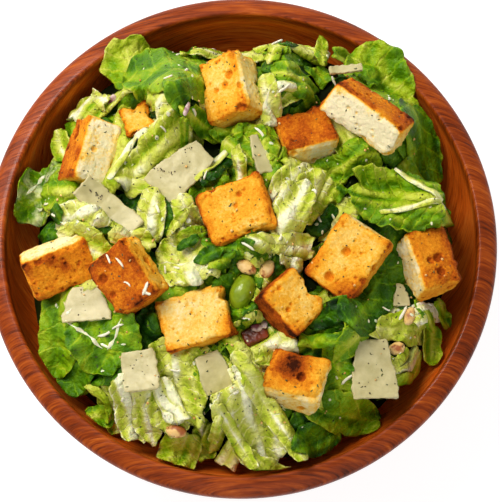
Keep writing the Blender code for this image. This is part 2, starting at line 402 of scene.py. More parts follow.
def remeshed(source, voxel):
    """A finer, even copy of a CAD node's mesh."""
    copy = bpy.data.objects.new("working", source.data.copy())
    bpy.context.scene.collection.objects.link(copy)
    modifier = copy.modifiers.new("even", "REMESH")
    modifier.mode = "VOXEL"
    modifier.voxel_size = voxel
    evaluated = copy.evaluated_get(bpy.context.evaluated_depsgraph_get())
    mesh = bpy.data.meshes.new_from_object(evaluated)
    bpy.data.objects.remove(copy)
    return mesh


def blurred(mesh, values, times):
    """Values at the vertices, each averaged with its neighbours several times."""
    edges = np.empty(len(mesh.edges) * 2, dtype=np.int64)
    mesh.edges.foreach_get("vertices", edges)
    first, second = edges.reshape(-1, 2).T
    count = np.bincount(edges, minlength=len(mesh.vertices)).reshape(-1, 1) + 1.0
    for _ in range(times):
        total = values.copy()
        for axis in range(values.shape[1]):
            total[:, axis] += np.bincount(first, values[second, axis], len(values))
            total[:, axis] += np.bincount(second, values[first, axis], len(values))
        values = total / count
    return values


# ---------------------------------------------------------------- the bowl

def hollow_radius(height):
    """Radius of the bowl's inside at that height."""
    share = np.clip((MOUTH_HEIGHT - height) / HOLLOW_DEPTH, 0, 1)
    return MOUTH_RADIUS * np.sqrt(1 - share ** WALL_ROUNDNESS)


def bowl_profile():
    """Radius and height from the middle of the foot, round the rim, to the middle inside."""
    outside = [(0, 0), (FOOT_RADIUS * 0.9, 0), (FOOT_RADIUS, 0.0006)]
    inside = []
    for step in range(WALL_STEPS + 1):
        angle = math.radians(90 * step / WALL_STEPS)
        if step:
            outside.append((FOOT_RADIUS + (RIM_RADIUS - FOOT_RADIUS) * math.sin(angle),
                            WIDEST_HEIGHT * (1 - math.cos(angle))))
        share = math.sin(angle) ** (2 / WALL_ROUNDNESS)
        inside.append((MOUTH_RADIUS * max(math.cos(angle), 0), MOUTH_HEIGHT - HOLLOW_DEPTH * share))
    across = RIM_RADIUS - MOUTH_RADIUS
    crown = RIM_HEIGHT - MOUTH_HEIGHT
    rim = [(MOUTH_RADIUS + across * out, MOUTH_HEIGHT + crown * up) for out, up in RIM_SHARES]
    return outside + rim + inside


def make_bowl(material):
    """The profile turned round the Z axis, its rows on the hollow's wall marked as inside, where the
    wood is painted paler as painted light.
    """
    profile = bowl_profile()
    rows = len(profile) - 2
    points = [(0, 0, profile[0][1])]
    faces = []
    last = 1 + BOWL_STEPS * rows
    for step in range(BOWL_STEPS):
        angle = math.tau * step / BOWL_STEPS
        for radius, height in profile[1:-1]:
            points.append((radius * math.cos(angle), radius * math.sin(angle), height))
        here = 1 + step * rows
        there = 1 + (step + 1) % BOWL_STEPS * rows
        faces.append((0, there, here))
        for row in range(rows - 1):
            faces.append((here + row, there + row, there + row + 1, here + row + 1))
        faces.append((here + rows - 1, there + rows - 1, last))
    points.append((0, 0, profile[-1][1]))
    # painted light: the rows on the hollow's wall, which get the paler copy of the wood
    painted_light_rows = [float(row > len(profile) - 1 - WALL_STEPS) for row in range(1, rows + 1)]
    inside = np.array([0.0] + painted_light_rows * BOWL_STEPS + [1.0])
    mesh = mesh_of("bowl_turned", points, faces, {"inside": np.repeat(inside[:, None], 3, axis=1)})
    add_piece("bowl_turned", mesh, material, "bowl", "bowl_wood")


# ---------------------------------------------------------------- croutons

# Each crouton's turn, as its CAD node has it: yaw, the way it leans and by how much, in degrees.
# Then how toasted its faces are, from 0 to 1: top, right, back, left and front before the turn.
CROUTONS = {
    "crouton_01": ((12, 180, 33), (0.32, 0.14, 0.40, 0.42, 0.32)),
    "crouton_02": ((-17, -15, 30), (0.05, 0.14, 0.36, 0.58, 0.30)),
    "crouton_03": ((20, 0, 0), (0.30, 0.40, 0.40, 0.40, 0.40)),
    "crouton_04": ((16, 100, 20), (0.64, 0.35, 0.56, 0.52, 0.14)),
    "crouton_05": ((-39, -130, 44), (-0.08, 0.22, 0.60, 0.50, 0.0)),
    "crouton_06": ((18, 190, 10), (0.39, 0.46, 0.52, 0.56, 0.46)),
    "crouton_07": ((-38, -130, 16), (0.29, 0.42, 0.18, 0.34, 0.50)),
    "crouton_08": ((17, 20, 20), (0.57, 0.60, 0.56, 0.10, 0.42)),
    "crouton_09": ((-47, 0, 17), (0.32, 0.56, 0.40, 0.74, 0.78)),
    "crouton_10": ((13, 180, 6), (0.20, 0.30, 0.22, 0.30, 0.44)),
    "crouton_11": ((32, 212, 26), (0.66, 0.36, 0.40, 0.70, 0.60)),
    "crouton_12": ((22, -70, 30), (0.52, 0.36, 0.05, 0.46, 0.52)),
    "crouton_13": ((-18, 80, 14), (0.31, 0.08, 0.44, 0.42, 0.12)),
}
CROUTON_VOXEL = 0.62 * MM
CHIP_DEPTH = 3.2                    # the most that an edge is chipped off, in mm
HOLE_DEPTH = 0.9                    # of a hole in the crumb, as a share of its radius
EDGE_SHARPNESS = 1.1 * MM           # how far the rounded edges of the CAD are drawn out

# Bites out of the croutons' edges: where, in mm, and their radius.
BITES = {
    "crouton_01": (((-18.5, 63), 4.5), ((-15, 77), 2.5)),
    "crouton_03": (((-47.5, 57), 3.0), ((-37.5, 54), 2.5), ((-42, 45), 2.5)),
    "crouton_04": (((27, 57), 4.5),),
    "crouton_06": (((-9, 21), 2.5),),
    "crouton_07": (((57, 3), 4.0),),
    "crouton_09": (((32, -26), 6.5),),
    "crouton_10": (((-38, -28), 4.0), ((-36, -48), 3.0), ((-8, -30), 2.5)),
    "crouton_11": (((-66, -24), 2.5),),
    "crouton_13": (((27, -52), 4.0), ((13, -80), 3.0)),
}

# Darker spots of toast: place in mm, radius in mm and how much darker.
TOAST_SPOTS = {
    "crouton_05": (((74, 47), 5, 0.20),),
    "crouton_07": (((45, -31), 7, 0.40), ((28, -16), 5, 0.30)),
    "crouton_08": (((96, -14), 6, 0.25),),
    "crouton_10": (((-5, -44), 6, 0.25),),
    "crouton_12": (((-83, -12), 3, 0.30), ((-77, -15), 2.5, 0.22)),
    "crouton_13": (((21, -61), 7.5, 0.72),),
}


def toast_by_face(normals, turn, toasts):
    """How toasted each point is, by the face of the crouton it is on."""
    yaw, lean_way, lean = (math.radians(value) for value in turn)
    hinge = Vector((-math.sin(lean_way), math.cos(lean_way), 0))
    turned = Matrix.Rotation(lean, 3, hinge) @ Matrix.Rotation(yaw, 3, "Z")
    weights = np.zeros(len(normals)) + 1e-6
    total = np.zeros(len(normals))
    faces = ((0, 0, 1), (1, 0, 0), (0, 1, 0), (-1, 0, 0), (0, -1, 0))
    for face, toast in zip(faces, toasts):
        weight = np.exp(9 * (normals @ np.array(turned @ Vector(face)) - 1))
        weights += weight
        total += weight * toast
    return total / weights


def pitted(points, rng, count, sizes):
    """How deep the crumb's round holes go at each point, with radii in that range of mm."""
    deep = np.zeros(len(points))
    for _ in range(count):
        centre = points[rng.randrange(len(points))]
        size = rng.uniform(*sizes) * MM
        away = np.linalg.norm(points - centre, axis=1) / size
        deep = np.maximum(deep, np.clip(1 - away ** 2, 0, 1) * size * HOLE_DEPTH)
    return deep


def standing_out(mesh, points, face, reach, full):
    """How much each point stands out from those round it, 1 where it does by the full distance."""
    return np.clip(np.sum((points - blurred(mesh, points, reach)) * face, axis=1) / full, 0, 1)


def distance_from(points, x, y):
    """How far each point is from that place in mm, seen from above."""
    return np.hypot(points[:, 0] - x * MM, points[:, 1] - y * MM)


def make_crouton(name, material, seed):
    """A finer copy of a CAD crouton with sharper edges, crumb, holes, chips and toast."""
    rng = random.Random(seed)
    turn, toasts = CROUTONS[name]
    mesh = remeshed(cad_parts[name], CROUTON_VOXEL)
    points = read(mesh)
    face = blurred(mesh, read(mesh, "normal"), 3)
    face /= np.linalg.norm(face, axis=1, keepdims=True) + 1e-9

    edge = standing_out(mesh, points, face, 20, 0.75 * MM)
    crust = standing_out(mesh, points, face, 6, 0.30 * MM)

    toast = toast_by_face(face, turn, toasts)
    soft = 1 - smooth_step(0.55, 0.8, toast)
    holes = int(len(points) / 100)
    deep = pitted(points, rng, holes, (0.3, 0.9))
    deep = np.maximum(deep, pitted(points, rng, holes // 8, (0.9, 2.5)))
    deep *= 0.30 + 0.85 * soft
    chips = edge * np.clip(noise(points, 5 * MM, seed + 31, 2) - 0.05, 0, 1) * CHIP_DEPTH * MM
    swell = noise(points, 13 * MM, seed, 2) * 0.45 * MM
    crumb = noise(points, 1.4 * MM, seed + 9, 2) * (0.10 + 0.12 * soft) * MM
    shaped = points + face * (swell + crumb + edge * EDGE_SHARPNESS - deep - chips)[:, None]
    middle = points.mean(axis=0)
    for (x, y), size in BITES.get(name, ()):
        inward = middle[:2] - np.array((x, y)) * MM
        inward /= np.linalg.norm(inward)
        radius = size * MM * (1 + 0.25 * noise(points, 4 * MM, seed + 41, 2))
        shaped[:, :2] += inward * np.clip(radius - distance_from(points, x, y), 0, None)[:, None]
    set_points(mesh, shaped)

    patch = noise(points, 7 * MM, seed + 21, 3)
    toast = toast + 0.20 * edge * (0.5 + 0.9 * patch) + 0.30 * crust ** 2 + 0.08 * patch
    for (x, y), size, more in TOAST_SPOTS.get(name, ()):
        away = distance_from(points, x, y) / (size * MM)
        toast = toast + more * np.exp(-away ** 2 * (1 + 0.8 * patch))
    # painted shade: how much darker the crumb is painted in its holes
    hollow = np.clip(deep / (0.6 * MM), 0, 1) * (0.25 + 0.75 * soft)
    layer = mesh.attributes.new("toast", "FLOAT_VECTOR", "POINT")
    layer.data.foreach_set("vector", np.stack([toast, hollow, 0 * toast], 1).ravel())
    add_piece(name + "_bread", mesh, material, name, "toasted_bread")


# ---------------------------------------------------------------- other toppings

def make_topping(name, material, slot, seed, voxel, lump, lump_height, ragged=0.0):
    """A finer copy of a small CAD topping with an uneven surface and ragged edges, in mm."""
    mesh = remeshed(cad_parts[name], voxel * MM)
    points = read(mesh)
    normals = read(mesh, "normal")
    at_edge = 1 - smooth_step(0.5, 0.9, np.abs(normals[:, 2]))
    shift = noise(points, lump * MM, seed, 3) * (lump_height * MM)
    shift = shift + at_edge * noise(points, 2.2 * MM, seed + 50, 2) * (ragged * MM)
    set_points(mesh, points + normals * shift[:, None])
    add_piece(name + "_food", mesh, material, name, slot)


# ---------------------------------------------------------------- the pile of leaves

class Pile:
    """Heights, on a square grid, of what is in the bowl so far and of what lies on it."""

    def __init__(self):
        self.count = int(2 * MAP_HALF / MAP_CELL) + 1
        self.top = self.cast_down()
        self.ceiling = self.cast_up([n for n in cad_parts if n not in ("lettuce", "bowl")])

    def cast_down(self):
        """Height of the core, and of the bowl's wall and rim round it."""
        coarse = np.linspace(-MAP_HALF, MAP_HALF, self.count // 2 + 1)
        heap = tree_of("lettuce")
        heights = np.zeros((len(coarse), len(coarse)))
        for i, x in enumerate(coarse):
            for j, y in enumerate(coarse):
                radius = math.hypot(x, y)
                if radius > RIM_RADIUS:
                    heights[i, j] = MOUTH_HEIGHT
                    continue
                hit = heap.ray_cast(Vector((x, y, HIGH_UP)), Vector((0, 0, -1)))[0]
                height = hit.z - CORE_DROP if hit else 0
                heights[i, j] = max(height, wall_height(radius))
        return refined(heights[..., None], 2)[..., 0]

    def cast_up(self, names):
        """Height of the underside of the toppings, and of the top of small ones round them."""
        axis = np.linspace(-MAP_HALF, MAP_HALF, self.count)
        ceiling = np.full((self.count, self.count), NO_CEILING)
        for name in names:
            low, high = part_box(name)
            tree = tree_of(name)
            under = np.full((self.count, self.count), NO_CEILING)
            for i in np.nonzero((axis > low[0]) & (axis < high[0]))[0]:
                for j in np.nonzero((axis > low[1]) & (axis < high[1]))[0]:
                    start = Vector((axis[i], axis[j], low[2] - 0.001))
                    hit = tree.ray_cast(start, Vector((0, 0, 1)))[0]
                    if hit:
                        under[i, j] = hit.z
            if name.startswith(EASILY_HIDDEN):
                near = under < NO_CEILING
                for _ in range(BARE_CELLS):
                    near[1:-1, 1:-1] |= (near[:-2, 1:-1] | near[2:, 1:-1]
                                         | near[1:-1, :-2] | near[1:-1, 2:])
                under[near] = np.minimum(under[near], high[2] - LEAF_GAP)
            ceiling = np.minimum(ceiling, under)
        return ceiling

    def at(self, field, points):
        """The field's value over each point."""
        place = np.clip((points[..., :2] + MAP_HALF) / MAP_CELL, 0, self.count - 1.001)
        cell = place.astype(int)
        part = place - cell
        i, j = cell[..., 0], cell[..., 1]
        a, b = part[..., 0], part[..., 1]
        near = field[i, j] * (1 - a) + field[i + 1, j] * a
        far = field[i, j + 1] * (1 - a) + field[i + 1, j + 1] * a
        return near * (1 - b) + far * b

    def smoothed(self, reach):
        """The top, averaged over a square of that reach."""
        half = int(reach / MAP_CELL)
        field = self.top
        for _ in range(2):
            for axis in (0, 1):
                padded = np.concatenate([np.repeat(field.take([0], axis), half + 1, axis), field,
                                         np.repeat(field.take([-1], axis), half, axis)], axis)
                total = np.cumsum(padded, axis)
                width = 2 * half + 1
                ends = total.take(range(width, total.shape[axis]), axis)
                field = (ends - total.take(range(total.shape[axis] - width), axis)) / width
        return field

    def add(self, points):
        fine = refined(points, 3).reshape(-1, 3)
        cell = np.clip(np.round((fine[:, :2] + MAP_HALF) / MAP_CELL).astype(int), 0, self.count - 1)
        np.maximum.at(self.top, (cell[:, 0], cell[:, 1]), fine[:, 2])


def wall_height(radius):
    """Height of the bowl's wood at that radius, seen from above."""
    if radius < MOUTH_RADIUS:
        share = (1 - (radius / MOUTH_RADIUS) ** 2) ** (1 / WALL_ROUNDNESS)
        return MOUTH_HEIGHT - HOLLOW_DEPTH * share
    across = (radius - MOUTH_RADIUS) / (RIM_RADIUS - MOUTH_RADIUS)
    out, up = zip(*reversed(RIM_SHARES))
    return MOUTH_HEIGHT + (RIM_HEIGHT - MOUTH_HEIGHT) * np.interp(across, out, up)


def tree_of(name):
    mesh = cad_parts[name].data
    faces = [list(p.vertices) for p in mesh.polygons]
    return BVHTree.FromPolygons([v.co.copy() for v in mesh.vertices], faces)


def refined(grid, times):
    """The grid with each cell split into that many along both ways."""
    for _ in range(2):
        rows = np.linspace(0, grid.shape[0] - 1, (grid.shape[0] - 1) * times + 1)
        low = np.minimum(rows.astype(int), grid.shape[0] - 2)
        part = (rows - low)[:, None, None]
        grid = (grid[low] * (1 - part) + grid[low + 1] * part).swapaxes(0, 1)
    return grid


def spread(field, times, widest=False):
    """A field on a leaf's grid, averaged with its neighbours, or their highest value."""
    for _ in range(times):
        padded = np.pad(field, 1, mode="edge")
        parts = [padded[1:-1, 1:-1], padded[:-2, 1:-1], padded[2:, 1:-1],
                 padded[1:-1, :-2], padded[1:-1, 2:]]
        field = np.max(parts, axis=0) if widest else np.mean(parts, axis=0)
    return field


# How each kind of leaf is shaped: its ends' width as a share of the middle's, the rib's half
# width and height, the space between side veins, how much the blade puffs up between them, how
# crinkled it is, how its edge waves, how ragged its outline is, how far its edges roll in
# degrees, its thickness, the number and the steepness of its creases, and its pleats' width and
# height. Then how much paler its rib is, and how strongly its veins show. Lengths are in mm.
KINDS = {
    "outer": dict(ends=(0.50, 0.30), rib=(1.2, 0.6), veins=8.5, puff=0.7, crinkle=0.55,
                  ruffle=1.8, ragged=0.14, roll=50, thick=0.4, creases=3, fold=0.7,
                  pleats=(12, 1.0), pale=0.16, vein=1.0),
    "green": dict(ends=(0.55, 0.40), rib=(1.2, 0.6), veins=6.0, puff=0.8, crinkle=0.9,
                  ruffle=1.6, ragged=0.24, roll=35, thick=0.4, creases=3, fold=0.9,
                  pleats=(7, 1.2), pale=0.22, vein=0.9),
    "heart": dict(ends=(0.70, 0.50), rib=(3.6, 1.8), veins=5.0, puff=1.0, crinkle=0.9,
                  ruffle=1.3, ragged=0.18, roll=45, thick=0.5, creases=3, fold=0.8,
                  pleats=(6.5, 1.5), pale=0.18, vein=1.2),
    "rib": dict(ends=(0.85, 0.65), rib=(6.0, 2.4), veins=40, puff=0.0, crinkle=0.25,
                ruffle=0.2, ragged=0.06, roll=75, thick=1.4, creases=0, fold=0,
                pleats=(5, 0.2), pale=0.08, vein=0.2),
}


class Leaf:
    """One leaf or torn piece of a leaf, from its base to its tip.

    Its middle rises by its arch and bends aside by its bow, and all of it is lifted by its lift,
    in mm. Cream is how much dressing is on it. A leaf laid over may lie on the bowl's rim. Tilt
    and tip_over are its slopes lengthwise and across. Changes alter the shape of its kind.
    """

    def __init__(self, kind, base, tip, width, tone, seed=0, cell=LEAF_CELL, lift=0, bow=0, arch=1.0,
                 cream=0.0, over=False, tilt=0.0, tip_over=0.0, **changes):
        self.kind = kind
        self.shape = dict(KINDS[kind], **changes)
        self.base = np.array(base) * MM
        self.tip = np.array(tip) * MM
        self.length = np.linalg.norm(self.tip - self.base)
        self.half = width * MM / 2
        self.tone = tone
        self.seed = seed
        self.cell = cell
        self.lift = lift * MM
        self.bow = bow * MM
        self.arch = arch * MM
        self.cream = cream
        self.over = over
        self.tilt = tilt
        self.tip_over = tip_over

    def rough(self, place, size, step, octaves=1):
        """This leaf's own noise, with lumps of that size in mm."""
        return noise(place, size * MM, self.seed + step, octaves)

    def lay(self, pile):
        """Lays the leaf on the pile and returns its points, faces, tints and blade places."""
        rows = max(8, int(self.length / self.cell))
        columns = max(8, int(2 * self.half * 1.1 / self.cell))
        u = np.linspace(0, 1, rows + 1)[:, None] + np.zeros((1, columns + 1))
        s = np.linspace(-1, 1, columns + 1)[None, :] + np.zeros((rows + 1, 1))
        along, across, half = self.torn(u, s)
        flat = np.stack([along, across, u * 0 + self.seed * 0.011], -1)
        inward, drop = self.rolled(s, across, half, flat)
        forward = (self.tip - self.base) / self.length
        aside = np.array((-forward[1], forward[0]))
        middle = self.base + forward * along[..., None]
        middle = middle + aside * (self.bow * 4 * u * (1 - u))[..., None]
        points = np.concatenate([middle + aside * inward[..., None], np.zeros_like(u)[..., None]], -1)
        pleat = self.pleats(flat, across)
        form = self.form(u, s, along, across, flat, drop, pleat)
        rib_half, rib_height = self.shape["rib"]
        rib_half = rib_half * MM * (1.15 - 0.85 * u)
        rib = np.exp(-(across / np.maximum(rib_half, 0.4 * MM)) ** 2)
        ridge = rib_height * MM * (1.1 - 0.75 * u) * rib
        self.settle(points, form, ridge, pile)
        return self.shell(points, ridge, rib, along, across, pleat)

    def torn(self, u, s):
        """How far along and across the flat leaf each point is, and the leaf's half width there."""
        ends = self.shape["ends"][0] * (1 - u) + self.shape["ends"][1] * u
        outline = ends + (1 - ends) * np.sqrt(np.clip(1 - np.abs(2 * u - 1) ** 2.4, 0, 1))
        side = np.stack([u * self.length, np.sign(s) * 20 * MM, np.full_like(u, self.seed * 0.37)], -1)
        tears = self.rough(side, 5.5, 0, 3) + 0.9 * self.rough(side, 15, 19)
        half = self.half * outline * (1 + self.shape["ragged"] * tears)
        across = s * half
        end = np.stack([across, np.sign(u - 0.5) * 20 * MM, u * 0 + self.seed], -1)
        end_tears = self.rough(end, 5, 3, 3) * np.abs(2 * u - 1) ** 5
        return u * self.length + end_tears * self.shape["ragged"] * 14 * MM, across, half

    def rolled(self, s, across, half, flat):
        """Distance across the leaf with its edges rolled down, and how far they drop."""
        turn = np.radians(self.shape["roll"]) * (0.8 + 0.5 * self.rough(flat, 16, 5))
        start = 0.52 * half
        bend = np.maximum(half * 0.5, 2.0 * MM) / np.maximum(np.abs(turn), 0.2)
        angle = np.clip(np.abs(across) - start, 0, None) / bend
        inward = np.sign(s) * np.where(angle > 0, start + bend * np.sin(angle), np.abs(across))
        return inward, np.sign(turn) * bend * (1 - np.cos(angle))

    def pleats(self, flat, across):
        """Soft folds along the leaf, from about -1 to 1."""
        bends = 1.6 * self.rough(flat, 17, 23, 2)
        pleat = np.sin(math.tau * across / (self.shape["pleats"][0] * MM) + bends * 2.5 + self.seed)
        return pleat * (0.65 + 0.5 * self.rough(flat, 9, 29))

    def form(self, u, s, along, across, flat, drop, pleat):
        """Height of the leaf's upper face over a flat one."""
        shape = self.shape
        height = self.arch * 4 * u * (1 - u) - drop
        slant = along - VEIN_SLANT * np.abs(across) + 2.2 * MM * self.rough(flat, 12, 7)
        phase = slant / (shape["veins"] * MM)
        blade = smooth_step(0.05, 0.35, np.abs(s))
        height += shape["puff"] * MM * np.abs(np.sin(math.pi * (phase - 0.5))) ** 0.7 * blade
        wrinkle = 0.6 - np.abs(self.rough(flat, 5.5, 11, 3))
        height += shape["crinkle"] * MM * wrinkle * 1.5 * (0.35 + 0.65 * blade)
        height += self.creases(along, across)
        height += shape["pleats"][1] * MM * pleat
        wave = np.sin(math.tau * along / (9 * MM) + 3.0 * self.rough(flat, 14, 13) + self.seed)
        return height + shape["ruffle"] * MM * wave * np.abs(s) ** 2.5

    def creases(self, along, across):
        """Height from the folds of a torn piece, each a straight line across it."""
        rng = random.Random(self.seed * 7 + 1)
        height = self.tilt * along + self.tip_over * across
        for _ in range(self.shape["creases"]):
            angle = rng.uniform(0, math.pi)
            x, y = rng.uniform(0.25, 0.75) * self.length, rng.uniform(-0.4, 0.4) * self.half
            away = (along - x) * math.cos(angle) + (across - y) * math.sin(angle)
            slope = rng.choice((-1, 1)) * rng.uniform(0.25, 0.6) * self.shape["fold"]
            height = height + slope * (np.sqrt(away ** 2 + (0.8 * MM) ** 2) - 2 * MM)
        return height

    def settle(self, points, form, ridge, pile):
        """Gives the points their heights: on what lies below, and under the toppings."""
        if not self.over:
            self.keep_inside(points)
        z = spread(pile.at(pile.smoothed(5 * MM), points), 4) + self.lift + form
        top = pile.at(pile.top, points)
        need = spread(np.maximum(spread(top + LEAF_GAP + 0.4 * ridge - z, 2, True), 0), 4)
        z = np.maximum(z + need, top + 0.2 * MM)
        ceiling = spread(np.minimum(pile.at(pile.ceiling, points) - 1.0 * MM, 0.3), 1)
        points[..., 2] = np.minimum(z, ceiling - ridge)
        if not self.over:
            self.keep_inside(points)
        pile.add(points + np.stack([0 * ridge, 0 * ridge, ridge], -1))

    def keep_inside(self, points):
        """Draws points that would cross the bowl's wall back inside it."""
        radius = np.hypot(points[..., 0], points[..., 1])
        height = np.maximum(points[..., 2], LOWEST_EDGE)
        limit = hollow_radius(np.minimum(height, MOUTH_HEIGHT)) - WALL_GAP
        share = np.minimum(1, limit / np.maximum(radius, 1e-6))
        points[..., :2] *= share[..., None]

    def shell(self, points, ridge, rib, along, across, pleat):
        """The upper and lower faces, joined round the edge, and their tints and blade places."""
        normal = np.cross(np.gradient(points, axis=0), np.gradient(points, axis=1))
        normal /= np.linalg.norm(normal, axis=-1, keepdims=True) + 1e-12
        thick = self.shape["thick"] * MM
        upper = points + normal * (ridge[..., None] + thick / 2)
        lower = points - normal * (ridge[..., None] * 0.6 + thick / 2)
        rows, columns = ridge.shape
        count = rows * columns
        index = np.arange(count).reshape(rows, columns)
        quads = np.stack([index[:-1, :-1], index[1:, :-1], index[1:, 1:], index[:-1, 1:]], -1)
        border = np.concatenate([index[:-1, 0], index[-1, :-1], index[:0:-1, -1], index[0, :0:-1]])
        after = np.roll(border, -1)
        faces = [quads.reshape(-1, 4), quads[..., ::-1].reshape(-1, 4) + count,
                 np.stack([after, border, border + count, after + count], -1)]
        both = np.concatenate([upper.reshape(-1, 3), lower.reshape(-1, 3)])

        # paler towards its rib; painted light and shade along its pleats, paler on the ridges and darker
        # in the folds; and a painted highlight at its edges
        flat = np.stack([along, across, along * 0 + self.seed], -1)
        # painted light and shade: the pleats' ridges are painted paler and their folds darker
        tone = self.tone + 0.07 * self.rough(flat, 11, 17, 2) + PLEAT_PAINTED_LIGHT * pleat
        share = np.clip(along / (along.max() + 1e-9), 0, 1)
        tone = tone + self.shape["pale"] * rib * (1.15 - 0.6 * share)
        near_rib = np.exp(-(np.abs(across) / (self.half * 0.55)) ** 2)
        tone = tone + (0.06 if self.kind == "heart" else 0.03) * near_rib
        # painted highlight: the outermost part of each side of the leaf is painted paler
        reach = np.abs(np.linspace(-1, 1, columns))[None, :] + 0 * along
        tone = tone + 0.10 * smooth_step(0.88, 1.0, reach)
        vein = np.clip(1 - rib, 0, 1) * self.shape["vein"]
        tint = np.stack([tone, along * 0 + self.cream * 0.3, vein], -1).reshape(-1, 3)
        spacing = along * 0 + self.shape["veins"] * MM
        blade = np.stack([along + BLADE_START, across, spacing], -1).reshape(-1, 3)
        return both, np.concatenate(faces), np.tile(tint, (2, 1)), np.tile(blade, (2, 1))


